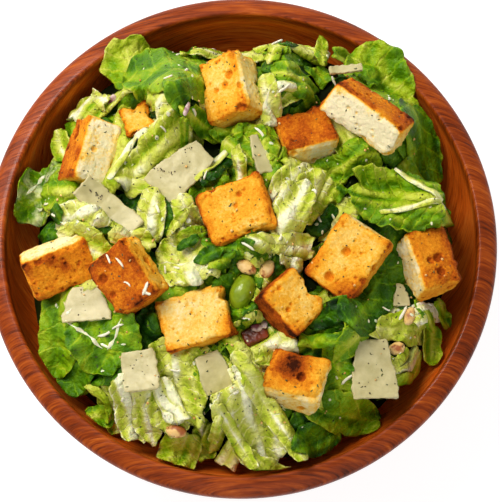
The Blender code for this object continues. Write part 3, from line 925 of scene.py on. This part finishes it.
# The leaves that show, from the lowest to the highest: kind, base, tip, width, tone, changes.
LEAVES = (
    # dark pieces low between the others
    ("outer", (-52, 20), (-40, 8), 13, 0.20, {}),
    ("outer", (-30, -4), (-28, 15), 13, 0.13, {}),
    ("outer", (-68, 2), (-52, 5), 11, 0.22, dict(cream=0.4)),
    ("outer", (-18, 22), (-4, 33), 13, 0.10, {}),
    ("outer", (-10, -4), (12, 2), 13, 0.14, {}),
    ("outer", (-46, -36), (-40, -52), 15, 0.14, dict(cream=0.3)),
    ("outer", (28, -42), (44, -38), 11, 0.08, {}),
    ("outer", (12, 72), (36, 80), 15, 0.16, dict(cream=0.3)),
    ("outer", (-26, 62), (-20, 50), 12, 0.18, {}),
    ("outer", (66, -28), (80, -34), 12, 0.14, {}),
    ("green", (22, -78), (30, -92), 11, 0.22, {}),
    # upper left, along the wall
    ("outer", (-76, 34), (-101, 17), 27, 0.46, dict(cream=1.25, ragged=0.3, crinkle=0.9, roll=-20)),
    ("green", (-72, 50), (-77, 61), 9, 0.42, dict(cream=0.5)),
    ("green", (-78, 37), (-83, 53), 9, 0.62, {}),
    ("heart", (-75, 58), (-64, 71), 10, 0.74, dict(cream=0.6, roll=60, lift=1)),
    ("heart", (-57, 18), (-51, 57), 10, 0.60, dict(puff=0.5)),
    ("green", (-44, 67), (-69, 55), 11, 0.66, dict(lift=3, bow=-3, roll=70, puff=0.4, ragged=0.1)),
    ("heart", (-43, 42), (-28, 61), 13, 0.76, dict(cream=0.5, arch=0)),
    ("heart", (-53, 19), (-22, 45), 19, 0.63, dict(lift=1, puff=0.4, crinkle=0.35, roll=40)),
    ("rib", (-58, 21), (-45, 43), 3, 0.82, dict(rib=(1.2, 0.8), thick=0.8)),
    ("heart", (-57, 14), (-87, 21), 22, 0.50, dict(lift=1, roll=55, puff=0.5)),
    ("heart", (-56, 8), (-83, 7), 15, 0.80, dict(cream=0.6, lift=1, crinkle=1.4)),
    ("outer", (-44, 70), (-53, 96), 26, 0.58, dict(lift=5, roll=60, over=True, crinkle=0.3)),
    ("outer", (-12, 65), (-51, 77), 31, 0.42,
     dict(lift=6, roll=65, arch=5, over=True, puff=0.25, crinkle=0.3, ragged=0.05)),
    # chopped greens between the upper croutons
    ("green", (-29, 61), (-23, 49), 10, 0.30, {}),
    ("green", (-22, 49), (-6, 44), 10, 0.36, dict(crinkle=1.3)),
    ("heart", (-8, 48), (11, 56), 13, 0.74, dict(cream=0.8, crinkle=1.3)),
    ("green", (-10, 47), (5, 41), 11, 0.42, dict(crinkle=1.3)),
    ("green", (-2, 44), (13, 41), 9, 0.42, dict(crinkle=1.3)),
    ("green", (-6, 40), (7, 28), 12, 0.52, dict(puff=0.4)),
    ("rib", (-20, 22), (-5, 35), 3.5, 0.78, dict(rib=(1.4, 0.8), thick=0.8)),
    # along the wall at the top
    ("green", (-24, 82), (-23, 92), 4, 0.45, {}),
    ("green", (-14, 85), (-17, 94), 9, 0.60, dict(ruffle=2)),
    ("heart", (18, 84), (-21, 86), 10, 0.68, dict(veins=3.0, lift=2, roll=40)),
    ("green", (14, 83), (36, 85), 9, 0.42, {}),
    ("green", (13, 76), (31, 79), 9, 0.34, dict(cream=0.4)),
    ("green", (33, 77), (42, 67), 10, 0.42, {}),
    ("green", (35, 62), (15, 68), 15, 0.43, {}),
    ("heart", (15, 47), (12, 67), 11, 0.70, dict(cream=0.5, crinkle=1.2)),
    ("rib", (17, 60), (25, 61), 4, 0.80, dict(rib=(1.4, 0.8), thick=0.8)),
    ("heart", (41, 84), (10, 89), 12, 0.62, dict(cream=0.3, ruffle=2, lift=3)),
    ("green", (38, 79), (39, 94), 7, 0.56, dict(roll=60, lift=2)),
    ("green", (63, 79), (41, 83), 8, 0.52, dict(lift=3, roll=60, over=True)),
    ("outer", (70, 46), (60, 90), 34, 0.50,
     dict(lift=4, over=True, puff=0.4, crinkle=0.5, roll=45, ragged=0.10, ends=(0.5, 0.1))),
    ("green", (56, 66), (64, 76), 9, 0.34, dict(over=True)),
    # right side
    ("outer", (71, 53), (80, 33), 17, 0.30, {}),
    ("outer", (77, 58), (88, 26), 19, 0.34, dict(roll=60, lift=1)),
    ("green", (86, 25), (93, 8), 10, 0.36, dict(ruffle=2.5)),
    ("green", (64, 34), (33, 25), 15, 0.43, dict(lift=1)),
    ("rib", (91, 4), (72, 31), 13, 0.56, dict(crinkle=0.3, roll=50)),
    ("heart", (87, 9), (49, 14), 28, 0.43, dict(roll=25, puff=1.3, lift=2, crinkle=1.1)),
    ("rib", (87, 10), (68, 26), 2.4, 0.82, dict(rib=(1.0, 0.6), thick=0.6)),
    ("rib", (87, 9), (60, 4), 2.4, 0.80, dict(rib=(1.0, 0.6), thick=0.6)),
    ("heart", (18, 11), (34, 27), 20, 0.82, dict(cream=0.3, roll=55, lift=1.5)),
    ("heart", (16, 2), (40, 22), 18, 0.72, dict(cream=0.1, lift=1)),
    ("heart", (15, -6), (29, 17), 17, 0.76, dict(cream=0.6)),
    ("heart", (33, -8), (4, -10), 11, 0.70, {}),
    # middle left
    ("heart", (-40, -3), (-37, 19), 13, 0.75, dict(roll=60)),
    ("heart", (-23, -6), (-26, 17), 10, 0.76, dict(roll=60)),
    ("heart", (-13, -15), (-18, 9), 15, 0.76, dict(cream=0.5, lift=1, crinkle=1.3)),
    ("heart", (-79, 2), (-58, -12), 15, 0.66, dict(cream=0.3)),
    ("heart", (-57, -1), (-39, -7), 12, 0.66, {}),
    ("heart", (-19, -25), (-27, -1), 26, 0.76, dict(cream=0.5, crinkle=1.4, lift=1)),
    ("green", (-14, -8), (4, -12), 8, 0.34, dict(roll=70)),
    ("green", (-15, -18), (3, -14), 7, 0.40, dict(roll=85, puff=0.2, crinkle=0.2, lift=1)),
    # lower left
    ("heart", (-60, -63), (-55, -85), 15, 0.60, {}),
    ("outer", (-58, -78), (-70, -76), 10, 0.46, {}),
    ("rib", (-68, -64), (-61, -80), 2.2, 0.62, dict(bow=4, lift=1)),
    ("outer", (-50, -57), (-79, -60), 17, 0.28, dict(puff=0.3, crinkle=0.3)),
    ("outer", (-66, -48), (-80, -67), 16, 0.32, dict(roll=60, lift=1)),
    ("outer", (-78, -20), (-84, -60), 20, 0.45, dict(roll=60, lift=3, puff=0.4)),
    ("outer", (-68, -28), (-54, -60), 30, 0.37,
     dict(cream=0.5, lift=5, roll=25, puff=0.4, crinkle=0.5, ragged=0.14, fold=1.2)),
    ("heart", (-52, -62), (-48, -89), 15, 0.77, dict(cream=0.5, crinkle=1.3, lift=1)),
    ("green", (-20, -82), (-16, -98), 10, 0.58, {}),
    ("green", (-25, -84), (-33, -103), 18, 0.65, dict(lift=1, roll=45, ragged=0.1)),
    ("heart", (-44, -66), (-41, -88), 13, 0.72, dict(lift=1)),
    ("heart", (-29, -48), (-28, -86), 28, 0.67, dict(lift=1.5, roll=65, crinkle=1.1)),
    ("rib", (-28, -83), (-37, -65), 10, 0.90, dict(lift=1)),
    # bottom
    ("heart", (8, -60), (-7, -43), 15, 0.68, {}),
    ("heart", (21, -50), (3, -53), 17, 0.70, {}),
    ("heart", (-12, -82), (-16, -93), 9, 0.54, {}),
    ("rib", (-9, -99), (-3, -89), 9, 0.74, {}),
    ("heart", (-5, -62), (9, -99), 28, 0.76, dict(cream=0.5, roll=70, crinkle=1.3, lift=2)),
    ("green", (0, -97), (19, -106), 9, 0.70, dict(lift=1)),
    ("green", (-13, -76), (3, -101), 7, 0.70, dict(lift=2, roll=60)),
    ("green", (-5, -56), (25, -100), 10, 0.72, dict(lift=3, roll=65, puff=0.3, ragged=0.1)),
    # lower right
    ("green", (42, -83), (23, -94), 14, 0.30, dict(ruffle=2)),
    ("outer", (40, -48), (42, -76), 15, 0.44, dict(lift=1)),
    ("outer", (60, -80), (27, -78), 17, 0.42, dict(lift=1, cream=0.6, crinkle=0.9, ragged=0.22)),
    ("rib", (63, -64), (78, -51), 3, 0.50, dict(bow=-5)),
    ("rib", (61, -62), (76, -50), 3, 0.74, dict(bow=-4)),
    ("rib", (59, -58), (72, -51), 3, 0.64, dict(bow=-3)),
    ("rib", (24, -50), (43, -51), 5, 0.38, {}),
    ("green", (46, -50), (48, -32), 9, 0.42, dict(ruffle=2)),
    ("green", (53, -44), (40, -58), 9, 0.46, dict(ruffle=2, lift=1)),
    ("outer", (46, -46), (67, -11), 23, 0.27,
     dict(puff=0.25, crinkle=0.25, lift=3, roll=40, ragged=0.03)),
    ("green", (57, -44), (87, -42), 14, 0.63, dict(lift=1, roll=45)),
    ("green", (84, -38), (85, -57), 9, 0.56, dict(lift=1)),
    ("rib", (75, -38), (90, -32), 8, 0.92, dict(lift=1)),
    ("green", (88, -29), (93, -39), 7, 0.42, dict(lift=1)),
)


# Large leaves that stay clear of torn bits: middle in mm, and radius.
CLEAR = (((-35, 72), 27), ((-63, -42), 22), ((56, -30), 15), ((64, 74), 20), ((-92, 26), 12),
         ((-33, -73), 22), ((6, -78), 22), ((-44, 53), 11), ((27, 17), 16), ((70, 16), 22))


def is_clear(x, y):
    """Whether a torn bit there would lie on no topping and on no large leaf."""
    if any(math.hypot(x - cx, y - cy) < radius for (cx, cy), radius in CLEAR):
        return False
    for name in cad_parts:
        if name in ("bowl", "lettuce"):
            continue
        low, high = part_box(name)
        if low[0] - 0.003 < x * MM < high[0] + 0.003 and low[1] - 0.003 < y * MM < high[1] + 0.003:
            return False
    return True


def random_leaves(rng, count, radius, first_seed, half_length, kinds, tones, tone_change, ranges,
                  allowed=None, **fixed):
    """Leaves at random places, mm. Each value of a range is drawn between its two ends."""
    leaves = []
    for number, (x, y) in enumerate(random_places(rng, count, radius)):
        if allowed and not allowed(x, y):
            continue
        turn = rng.uniform(0, math.tau)
        half = rng.uniform(*half_length) * np.array((math.cos(turn), math.sin(turn)))
        kind = rng.choice(kinds)
        tone = tones[kind] + rng.uniform(*tone_change)
        values = {label: rng.uniform(*ends) for label, ends in ranges.items()}
        leaves.append(Leaf(kind, (x, y) - half, (x, y) + half, tone=tone, seed=first_seed + number,
                           **values, **fixed))
    return leaves


def filler_leaves(rng):
    """Leaves under the ones that show."""
    ranges = dict(width=(12, 22), arch=(-1, 3), cream=(0, 0.6), tilt=(-0.15, 0.15),
                  tip_over=(-0.25, 0.25))
    return random_leaves(rng, count=170, radius=84, first_seed=200, half_length=(8, 15),
                         kinds=("outer", "green", "green", "heart"),
                         tones={"outer": 0.16, "green": 0.30, "heart": 0.58},
                         tone_change=(-0.07, 0.09), ranges=ranges, cell=FILLER_CELL)


def torn_bits(rng):
    """Small torn pieces here and there on top."""
    ranges = dict(width=(4, 9), tilt=(-0.3, 0.3), tip_over=(-0.4, 0.4))
    return random_leaves(rng, count=150, radius=90, first_seed=500, half_length=(2.5, 6),
                         kinds=("outer", "green", "heart", "heart"),
                         tones={"outer": 0.22, "green": 0.42, "heart": 0.68},
                         tone_change=(-0.08, 0.08), ranges=ranges, allowed=is_clear,
                         cell=BIT_CELL, rib=(0.9, 0.4), ragged=0.3)


def add_leaves(name, leaves, material, node=None):
    points, faces, tint, blade = joined(leaves)
    mesh = mesh_of(name, points, faces, {"tint": tint, "blade": blade})
    add_piece(name, mesh, material, node, "lettuce_leaf")


def make_lettuce(pile):
    """Lays the fillers, then the leaves that show, then the torn bits."""
    leaf = make_leaf_material()
    rng = random.Random(11)
    fillers = [item.lay(pile) for item in filler_leaves(rng)]
    add_leaves("leaves_below", fillers, leaf, "lettuce")
    shown = []
    for number, (kind, base, tip, width, tone, changes) in enumerate(LEAVES):
        shown.append(Leaf(kind, base, tip, width, tone, seed=number, **changes).lay(pile))
    add_leaves("leaf_bits", [item.lay(pile) for item in torn_bits(rng)], leaf)
    groups = math.ceil(len(shown) / GROUP_SIZE)
    for group in range(groups):
        add_leaves("leaves_%d" % (group + 1), shown[group::groups], leaf)


def make_core():
    """The inside of the heap, painted near black as painted shade in the gaps between leaves, lower than
    the CAD heap so that the leaves lie on it.
    """
    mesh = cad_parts["lettuce"].data.copy()
    points = read(mesh)
    points[:, 2] = np.maximum(points[:, 2] - CORE_DROP, np.minimum(points[:, 2], CORE_FOOT))
    points[:, :2] *= CORE_SHRINK
    set_points(mesh, points)
    add_piece("lettuce_core", mesh, make_core_material(), "lettuce", "lettuce_leaf")


# ---------------------------------------------------------------- small things on top

BAR_RINGS = 8
STREAK_SIDES = 8
STEEPEST = 0.25                     # upward part of the normal where a small piece still lies


class Surface:
    """What is uppermost in the bowl, with everything made so far."""

    def __init__(self):
        graph = bpy.context.evaluated_depsgraph_get()
        shown = [o for o in bpy.context.scene.objects if o.type == "MESH" and not o.hide_render]
        self.trees = [(o.name, BVHTree.FromObject(o, graph)) for o in shown]

    def under(self, x, y):
        """The highest point at that place, its normal, and the name of what it is on."""
        best = None
        for name, tree in self.trees:
            place, normal, _, _ = tree.ray_cast(Vector((x, y, HIGH_UP)), Vector((0, 0, -1)))
            if place and (best is None or place.z > best[0].z):
                best = (place, normal if normal.z > 0 else -normal, name)
        return best


def random_places(rng, count, radius):
    """Places spread evenly over a disc, in the radius's own unit."""
    for _ in range(count):
        reach = radius * math.sqrt(rng.random())
        angle = rng.uniform(0, math.tau)
        yield reach * math.cos(angle), reach * math.sin(angle)


def grain_points(rng, size, lump=0.3, detail=1):
    """A small uneven ball, its three diameters in metres."""
    bm = bmesh.new()
    bmesh.ops.create_icosphere(bm, subdivisions=detail, radius=0.5)
    points = np.array([v.co for v in bm.verts])
    faces = np.array([[v.index for v in f.verts] for f in bm.faces])
    bm.free()
    swell = 1 + lump * noise(points, 0.6, rng.randrange(9999))
    return points * swell[:, None] * np.array(size), faces


def tube_faces(rings, sides):
    """Triangles between rings of points, and over both ends."""
    faces = []
    for ring in range(rings - 1):
        for side in range(sides):
            a, b = ring * sides + side, ring * sides + (side + 1) % sides
            faces += [(a, b, b + sides), (a, b + sides, a + sides)]
    for first, turn in ((0, -1), ((rings - 1) * sides, 1)):
        faces += [(first, first + i, first + i + 1)[::turn] for i in range(1, sides - 1)]
    return np.array(faces)


def bar_points(rng, length, width, thickness, bend):
    """A thin bar with rounded ends, bent a little."""
    points = []
    for share in np.linspace(-0.5, 0.5, BAR_RINGS):
        narrow = math.sqrt(max(1 - abs(2 * share) ** 6, 0.05)) * rng.uniform(0.85, 1.1)
        rise = bend * (1 - (2 * share) ** 2)
        for across, up in ((-0.5, -0.5), (0.5, -0.5), (0.5, 0.5), (-0.5, 0.5)):
            points.append((share * length, across * width * narrow + rise, up * thickness * narrow))
    return np.array(points), tube_faces(BAR_RINGS, 4)


def scatter(name, material, surface, rng, places, make, sink=0.1, slot=None, avoid=("bowl",)):
    """One mesh of many small pieces, each lying on what is under its place."""
    pieces = []
    for x, y in places:
        found = surface.under(x, y)
        if not found or found[2].startswith(avoid) or found[1].z < STEEPEST:
            continue
        place, normal, _ = found
        part, faces = make(rng)
        turn = normal.to_track_quat("Z", "Y").to_matrix() @ Matrix.Rotation(rng.uniform(0, 6.28), 3, "Z")
        height = part[:, 2].max() - part[:, 2].min()
        lift = np.array(place) + np.array(normal) * height * (0.5 - sink)
        pieces.append((part @ np.array(turn).T + lift, faces))
    add_piece(name, mesh_of(name, *joined(pieces)), material, slot=slot)


INNER_SPREAD = 0.092                # how far from the middle small pieces lie at random
OUTER_SPREAD = 0.095

# Where single pieces lie, and where streaks of dressing start and end, in mm.
SHRED_PLACES = ((-52, -17), (-57, -15), (-41, -29), (18, 86), (-23, 70), (-30, 63), (-36, 8),
                (-76, -38), (-60, -44), (-54, -42), (35, 5), (-33, -18), (-28, -18), (20, 59))
ONION_PLACES = ((-23, 49), (-61, 69), (-57, 64), (-11, 92), (6, -43), (9, -42))
DRESSING_STROKES = (((-77, -38), (-61, -50)), ((-62, -48), (-57, -50)), ((-59, -51), (-52, -39)),
                    ((-76, -36), (-74, -33)), ((-97, 24), (-89, 34)), ((-86, 16), (-93, 20)),
                    ((-80, 7), (-70, 3)), ((11, 52), (14, 60)), ((72, -34), (84, -31)))


# Rows of dark specks on the shavings: from, to, in mm, and how many.
SPECK_ROWS = (((-39, 29), (-28, 24), 16), ((-24, 34), (-21, 36), 6), ((-66, 17), (-60, 14), 12),
              ((-49, -58), (-42, -64), 5), ((-71, -25), (-70, -26), 2))


def speck_places(rng):
    for (x0, y0), (x1, y1), count in SPECK_ROWS:
        for _ in range(count):
            share = rng.random()
            yield ((x0 + (x1 - x0) * share + rng.uniform(-0.8, 0.8)) * MM,
                   (y0 + (y1 - y0) * share + rng.uniform(-0.8, 0.8)) * MM)


def streak_points(surface, rng, start, end):
    """A flattened streak that follows what lies under it, thinning towards both ends."""
    start, end = np.array(start) * MM, np.array(end) * MM
    length = np.linalg.norm(end - start)
    steps = max(6, int(length / (0.7 * MM)))
    forward = np.append((end - start) / length, 0)
    aside = np.array((-forward[1], forward[0], 0))
    seed = rng.randrange(9999)
    shares = np.linspace(0, 1, steps + 1)
    track = np.stack([shares * length, 0 * shares, 0 * shares + seed], -1)
    sway = 0.9 * MM * noise(track, 6 * MM, seed)
    swell = 0.85 * MM * (1 + 0.8 * noise(track, 2.5 * MM, seed + 1, 2))
    swell *= np.sqrt(np.clip(1 - np.abs(2 * shares - 1) ** 3, 0.03, 1))
    rings = []
    for share, off, half in zip(shares, sway, swell):
        x, y = start + (end - start) * share + aside[:2] * off
        found = surface.under(x, y)
        centre = np.array((x, y, found[0].z if found else 0.08))
        for corner in range(STREAK_SIDES):
            angle = math.tau * corner / STREAK_SIDES
            rings.append(centre + aside * half * math.cos(angle)
                         + np.array((0, 0, 0.45 * half * math.sin(angle))))
    rings = np.array(rings)
    heights = rings.reshape(steps + 1, STREAK_SIDES, 3)[..., 2]
    heights[1:-1] = (heights[:-2] + heights[1:-1] * 2 + heights[2:]) / 4
    return rings, tube_faces(steps + 1, STREAK_SIDES)


def in_metres(places):
    return [(x * MM, y * MM) for x, y in places]


def make_scattered():
    """Everything smaller than a berry, on top of what is already there."""
    surface = Surface()
    rng = random.Random(5)

    def strew(name, material, places, make, **how):
        scatter(name, material, surface, rng, places, make, **how)

    def shred(rng):
        return bar_points(rng, rng.uniform(3, 7.5) * MM, rng.uniform(0.7, 1.3) * MM, 0.7 * MM,
                          rng.uniform(-0.8, 0.8) * MM)

    def drop(rng):
        size = rng.uniform(0.7, 2.6) * MM
        return grain_points(rng, (size, size * rng.uniform(0.4, 0.9), 0.32 * MM), 0.4, 2)

    def peppercorn(rng):
        size = rng.uniform(0.35, 0.85) * MM
        return grain_points(rng, (size, size * rng.uniform(0.6, 1), size * 0.7), 0.5)

    def flake(rng):
        return bar_points(rng, rng.uniform(0.7, 1.6) * MM, rng.uniform(0.3, 0.6) * MM, 0.2 * MM,
                          rng.uniform(-0.3, 0.3) * MM)

    def crumb(rng):
        size = rng.uniform(0.6, 1.6) * MM
        return grain_points(rng, (size, size * rng.uniform(0.6, 1), size * 0.8), 0.5)

    def onion(rng):
        return grain_points(rng, (rng.uniform(4, 7) * MM, rng.uniform(2.5, 4) * MM, 1.6 * MM), 0.4, 2)

    white = make_spotted_material("shred", ((0.3, (226, 220, 190)), (0.7, (244, 240, 218))), 300)
    strew("parmesan_shreds", white, in_metres(SHRED_PLACES) + list(random_places(rng, 45, INNER_SPREAD)),
          shred, slot="hard_cheese",
          avoid=("bowl", "crouton_0", "crouton_10", "crouton_12", "crouton_13", "shaving", "olive"))

    dressing = Shader("dressing", Roughness=0.22, Base_Color=colour(230, 226, 190))
    dressing.set("Subsurface Weight", 0.2)
    dressing.set("Subsurface Scale", 0.001)
    strew("dressing_drops", dressing.material, random_places(rng, 150, INNER_SPREAD), drop,
          sink=0.35, avoid=("bowl", "crouton", "shaving"))
    streaks = joined([streak_points(surface, rng, *ends) for ends in DRESSING_STROKES])
    add_piece("dressing_streaks", mesh_of("dressing_streaks", *streaks), dressing.material)

    black = make_spotted_material("pepper", ((0.35, (26, 18, 12)), (0.65, (74, 52, 34))), 900)
    places = list(random_places(rng, 420, OUTER_SPREAD)) + list(speck_places(rng))
    strew("pepper", black, places, peppercorn)

    herb = make_spotted_material("herbs", ((0.35, (40, 52, 14)), (0.65, (84, 92, 30))), 600)
    strew("herb_flakes", herb, random_places(rng, 230, OUTER_SPREAD), flake)

    toast = make_spotted_material("crumbs", ((0.35, (206, 140, 58)), (0.65, (244, 206, 130))), 500)
    strew("bread_crumbs", toast, random_places(rng, 110, INNER_SPREAD), crumb, slot="toasted_bread")

    red = make_spotted_material("red_onion", ((0.40, (120, 52, 66)), (0.60, (222, 196, 190))), 240, 0.3)
    strew("onion_bits", red, in_metres(ONION_PLACES), onion)


# ---------------------------------------------------------------- camera and light

def turned_to(obj, aim):
    """Links the object and turns it to look at that place."""
    obj.rotation_euler = (Vector(aim) - obj.location).to_track_quat("-Z", "Y").to_euler()
    bpy.context.scene.collection.objects.link(obj)
    return obj


def make_camera():
    back = Vector((0, -math.sin(CAMERA_TILT), math.cos(CAMERA_TILT)))
    data = bpy.data.cameras.new("camera")
    data.lens = CAMERA_LENS
    data.sensor_fit = "HORIZONTAL"
    camera = bpy.data.objects.new("camera", data)
    camera.location = Vector((0, 0, CAMERA_AIM[2])) + CAMERA_DISTANCE * back
    bpy.context.scene.camera = turned_to(camera, CAMERA_AIM)


# The lamps round the bowl: place, size, power and tint.
LAMPS = {
    "key": ((-0.40, 0.38, 1.02), 0.45, 9.4, (1.0, 0.97, 0.92)),
    "fill_front": ((0.15, -0.80, 0.65), 0.9, 1.9, (1, 1, 1)),
    "fill_left": ((-0.62, 0.50, 0.72), 0.7, 4.2, (1, 0.98, 0.95)),
    "fill_back": ((0.1, 0.95, 0.55), 0.9, 0.9, (1, 1, 1)),
}
LAMP_AIM = (0, 0, 0.07)
WORLD_STRENGTH = 0.36
FLOOR_GLOW = 0.85
FLOOR_HALF = 3


def make_surroundings():
    """Soft white light from all round, the lamps, and a pale floor."""
    world = bpy.data.worlds.new("world")
    world.use_nodes = True
    background = world.node_tree.nodes["Background"]
    background.inputs["Color"].default_value = (1, 1, 1, 1)
    background.inputs["Strength"].default_value = WORLD_STRENGTH
    bpy.context.scene.world = world
    for name, (place, size, power, tint) in LAMPS.items():
        data = bpy.data.lights.new(name, "AREA")
        data.size = size
        data.energy = power
        data.color = tint
        lamp = bpy.data.objects.new(name, data)
        lamp.location = place
        turned_to(lamp, LAMP_AIM)
    floor = Shader("backdrop", Roughness=0.9, Base_Color=(0.35, 0.35, 0.35, 1))
    floor.set("Emission Color", (1, 1, 1, 1))
    floor.set("Emission Strength", FLOOR_GLOW)
    corners = [(x * FLOOR_HALF, y * FLOOR_HALF, 0) for x, y in ((-1, -1), (1, -1), (1, 1), (-1, 1))]
    mesh = mesh_of("floor", corners, [(0, 1, 2, 3)])
    mesh.materials.append(floor.material)
    obj = bpy.data.objects.new("floor", mesh)
    bpy.context.scene.collection.objects.link(obj)
    bpy.context.scene.view_settings.view_transform = "Standard"


# ---------------------------------------------------------------- the whole

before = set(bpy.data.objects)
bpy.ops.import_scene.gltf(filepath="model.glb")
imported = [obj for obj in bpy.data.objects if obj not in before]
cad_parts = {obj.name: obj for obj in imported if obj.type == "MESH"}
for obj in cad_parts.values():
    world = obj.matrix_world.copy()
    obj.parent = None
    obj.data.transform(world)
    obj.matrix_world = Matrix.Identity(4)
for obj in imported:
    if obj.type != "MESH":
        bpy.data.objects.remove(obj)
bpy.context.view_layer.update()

make_bowl(make_wood_material())
bread = make_bread_material()
for number, name in enumerate(sorted(CROUTONS)):
    make_crouton(name, bread, number + 1)
cheese = make_cheese_material()
for number in range(1, 10):
    make_topping("shaving_%d" % number, cheese, "hard_cheese", number, voxel=0.45, lump=5,
                 lump_height=0.22, ragged=0.55)
nut = make_spotted_material("almond", ((0.42, (158, 86, 34)), (0.48, (226, 182, 108)),
                                       (0.7, (244, 214, 156))), 120)
for number in range(1, 6):
    make_topping("almond_%d" % number, nut, "almond", number, voxel=0.35, lump=2.5, lump_height=0.2)
olive = make_spotted_material("green_olive", ((0.3, (84, 108, 2)), (0.7, (164, 182, 34))), 90, 0.25)
make_topping("olive", olive, "green_olive", 4, voxel=0.4, lump=4, lump_height=0.2)
tomato = make_spotted_material("dried_tomato", ((0.3, (70, 24, 12)), (0.7, (140, 56, 26))), 150, 0.4)
make_topping("dried_tomato", tomato, "dried_tomato", 5, voxel=0.35, lump=2, lump_height=0.4)
make_core()
make_lettuce(Pile())
make_scattered()
make_surroundings()
make_camera()
